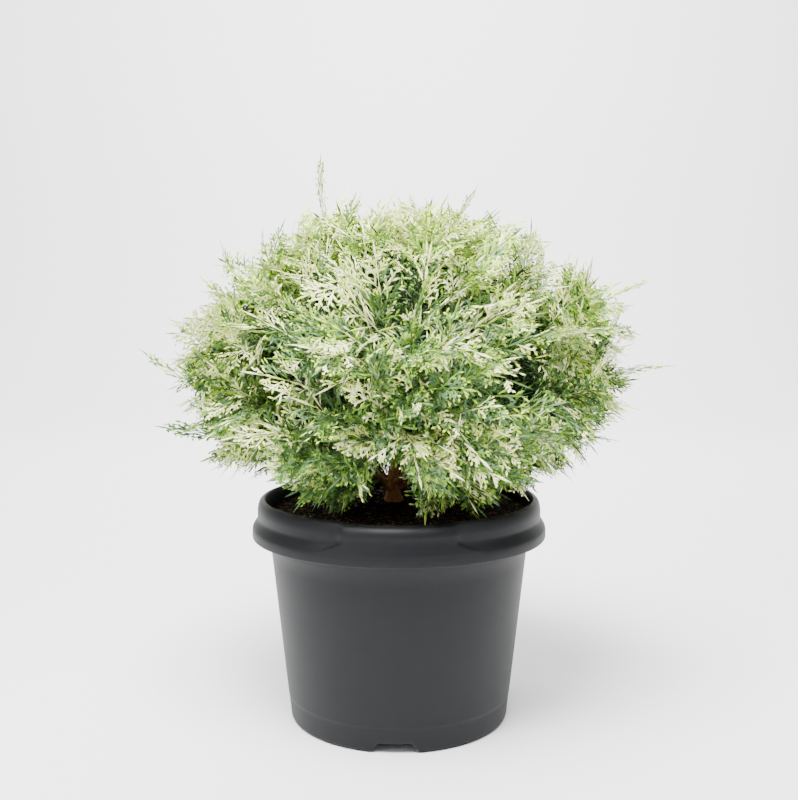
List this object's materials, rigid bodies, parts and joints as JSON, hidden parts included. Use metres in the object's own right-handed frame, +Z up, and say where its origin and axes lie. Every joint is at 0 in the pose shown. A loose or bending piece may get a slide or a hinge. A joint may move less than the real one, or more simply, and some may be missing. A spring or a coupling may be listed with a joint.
{
  "type": "potted variegated lawson cypress",
  "caption": "Young globe-shaped variegated cypress with feathery cream, lime and blue-green sprays on a short trunk, in a round dark nursery pot filled with bark soil.",
  "frame": {"origin": "middle of the pot's flat underside", "axes": "+Z up along the pot's axis, -Y towards the front seen in the picture, +X to its right"},
  "size_m": [0.324, 0.2738, 0.3562],
  "materials": {
    "pot": "fine moulded matt, anthracite",
    "soil": "damp composted bark",
    "bark": "thin red-brown young bark",
    "foliage_cream": "cream scale leaves",
    "foliage_lime": "lime green scale leaves",
    "foliage_green": "blue-green scale leaves"
  },
  "bodies": {
    "root": {"pot": "pot", "soil": "soil", "trunk": "bark", "bough_skirt_right": "bark", "bough_skirt_back_right": "bark", "bough_skirt_back_left": "bark", "bough_skirt_left": "bark", "bough_skirt_front_left": "bark", "bough_skirt_front_right": "bark", "bough_middle_right": "bark", "bough_middle_back_right": "bark", "bough_middle_back_left": "bark", "bough_middle_left": "bark", "bough_middle_front": "bark", "bough_upper_right": "bark", "bough_upper_back": "bark", "bough_upper_left": "bark", "bough_upper_front": "bark", "bough_top_left": "bark", "bough_top_back": "bark", "mass_skirt_right": "foliage_cream", "mass_skirt_back_right": "foliage_lime", "mass_skirt_back_left": "foliage_green", "mass_skirt_left": "foliage_cream", "mass_skirt_front_left": "foliage_lime", "mass_skirt_front_right": "foliage_green", "mass_middle_right": "foliage_cream", "mass_middle_back_right": "foliage_lime", "mass_middle_back_left": "foliage_green", "mass_middle_left": "foliage_cream", "mass_middle_front": "foliage_lime", "mass_upper_right": "foliage_green", "mass_upper_back": "foliage_cream", "mass_upper_left": "foliage_lime", "mass_upper_front": "foliage_green", "mass_top_left": "foliage_cream", "mass_top_back": "foliage_lime", "mass_top_right": "foliage_green"}
  },
  "joints": []
}
